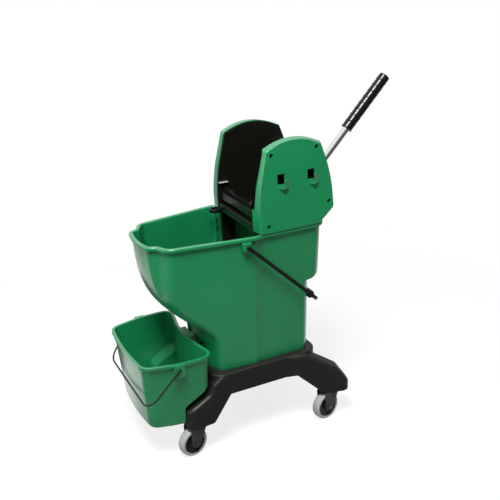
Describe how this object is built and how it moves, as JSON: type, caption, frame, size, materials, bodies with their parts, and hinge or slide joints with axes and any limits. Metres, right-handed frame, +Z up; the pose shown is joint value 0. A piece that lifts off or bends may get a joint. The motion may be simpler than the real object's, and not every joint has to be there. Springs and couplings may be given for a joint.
{
  "type": "mop bucket with wringer",
  "caption": "Wheeled plastic mop bucket with a pouring nose, a hang-on waste pail, a carrying bail and a geared lever wringer between side covers.",
  "frame": {"origin": "on the floor, below the centre of the bounding box", "axes": "+Z up; -X towards the pail and the pouring nose, +X towards the lever; left is -Y"},
  "size_m": [0.7727, 0.3392, 0.8695],
  "materials": {
    "green_plastic": "satin moulded",
    "black_plastic": "satin moulded",
    "fork_plastic": "satin moulded",
    "bush_plastic": "machined",
    "zinc_steel": "zinc plated",
    "coated_wire": "black coated",
    "lever_chrome": "polished",
    "grip_rubber": "moulded ribs",
    "grey_tyre": "smooth tread"
  },
  "bodies": {
    "base": {"chassis": "black_plastic", "bucket": "green_plastic", "base_screws": "zinc_steel", "bail_pins": "coated_wire", "caster_stem_front_left": "zinc_steel", "caster_stem_front_right": "zinc_steel", "caster_stem_rear_left": "zinc_steel", "caster_stem_rear_right": "zinc_steel"},
    "main_bail": {"main_bail": "black_plastic", "bail_sleeve": "black_plastic"},
    "pail": {"pail": "green_plastic"},
    "pail_bail": {"pail_bail": "coated_wire"},
    "wringer": {"cheek_left": "black_plastic", "cheek_right": "black_plastic", "cover_left": "green_plastic", "cover_right": "green_plastic", "cover_screws": "zinc_steel", "frame_screws": "zinc_steel", "front_beam": "black_plastic", "front_jaw": "black_plastic", "tie_rod": "black_plastic", "tool_ring": "black_plastic", "lever_bushes": "bush_plastic", "press_bushes": "bush_plastic"},
    "lever": {"lever_shaft": "zinc_steel", "pinion_left": "black_plastic", "pinion_right": "black_plastic", "lever_hub": "black_plastic", "lever_tube": "lever_chrome", "lever_grip": "grip_rubber", "lever_bolt": "zinc_steel"},
    "press": {"press_shaft": "zinc_steel", "sector_left": "black_plastic", "sector_right": "black_plastic", "press_plate": "black_plastic"},
    "fork_front_left": {"caster_fork_front_left": "fork_plastic", "axle_bolt_front_left": "zinc_steel"},
    "wheel_front_left": {"wheel_hub_front_left": "fork_plastic", "wheel_tyre_front_left": "grey_tyre"},
    "fork_front_right": {"caster_fork_front_right": "fork_plastic", "axle_bolt_front_right": "zinc_steel"},
    "wheel_front_right": {"wheel_hub_front_right": "fork_plastic", "wheel_tyre_front_right": "grey_tyre"},
    "fork_rear_left": {"caster_fork_rear_left": "fork_plastic", "axle_bolt_rear_left": "zinc_steel"},
    "wheel_rear_left": {"wheel_hub_rear_left": "fork_plastic", "wheel_tyre_rear_left": "grey_tyre"},
    "fork_rear_right": {"caster_fork_rear_right": "fork_plastic", "axle_bolt_rear_right": "zinc_steel"},
    "wheel_rear_right": {"wheel_hub_rear_right": "fork_plastic", "wheel_tyre_rear_right": "grey_tyre"}
  },
  "joints": [
    {"name": "main_bail_swing", "type": "hinge", "parent": "base", "child": "main_bail", "pos_m": [-0.094, 0, 0.533], "axis": [0, -1, 0], "range_deg": [0, 55]},
    {"name": "pail_lift", "type": "slide", "parent": "base", "child": "pail", "axis": [0, 0, 1], "range_m": [0, 0.018]},
    {"name": "pail_bail_swing", "type": "hinge", "parent": "pail", "child": "pail_bail", "pos_m": [-0.29, 0, 0.268], "axis": [0, 1, 0], "range_deg": [0, 115]},
    {"name": "wringer_lift", "type": "slide", "parent": "base", "child": "wringer", "axis": [0, 0, 1], "range_m": [0, 0.18]},
    {"name": "lever_swing", "type": "hinge", "parent": "wringer", "child": "lever", "pos_m": [0.105, 0, 0.588], "axis": [0, 1, 0], "range_deg": [0, 62], "stiffness_Nm_per_rad": 1.5, "springref_deg": -91.67},
    {"name": "press_swing", "type": "hinge", "parent": "wringer", "child": "press", "pos_m": [0.06068, 0, 0.59581], "axis": [0, 1, 0], "range_deg": [-50, 0]},
    {"name": "swivel_front_left", "type": "hinge", "parent": "base", "child": "fork_front_left", "pos_m": [-0.241, -0.112, 0.09], "axis": [0, 0, 1], "continuous": true},
    {"name": "roll_front_left", "type": "hinge", "parent": "fork_front_left", "child": "wheel_front_left", "pos_m": [-0.26056, -0.11616, 0.0375], "axis": [-0.2079, 0.9781, 0], "continuous": true},
    {"name": "swivel_front_right", "type": "hinge", "parent": "base", "child": "fork_front_right", "pos_m": [-0.241, 0.112, 0.09], "axis": [0, 0, 1], "continuous": true},
    {"name": "roll_front_right", "type": "hinge", "parent": "fork_front_right", "child": "wheel_front_right", "pos_m": [-0.26056, 0.11616, 0.0375], "axis": [0.2079, 0.9781, 0], "continuous": true},
    {"name": "swivel_rear_left", "type": "hinge", "parent": "base", "child": "fork_rear_left", "pos_m": [0.1325, -0.138, 0.09], "axis": [0, 0, 1], "continuous": true},
    {"name": "roll_rear_left", "type": "hinge", "parent": "fork_rear_left", "child": "wheel_rear_left", "pos_m": [0.11294, -0.14216, 0.0375], "axis": [-0.2079, 0.9781, 0], "continuous": true},
    {"name": "swivel_rear_right", "type": "hinge", "parent": "base", "child": "fork_rear_right", "pos_m": [0.1325, 0.138, 0.09], "axis": [0, 0, 1], "continuous": true},
    {"name": "roll_rear_right", "type": "hinge", "parent": "fork_rear_right", "child": "wheel_rear_right", "pos_m": [0.11294, 0.14216, 0.0375], "axis": [0.2079, 0.9781, 0], "continuous": true}
  ],
  "couplings": [
    {"joint": "press_swing", "follows": "lever_swing", "ratio": -0.8}
  ]
}
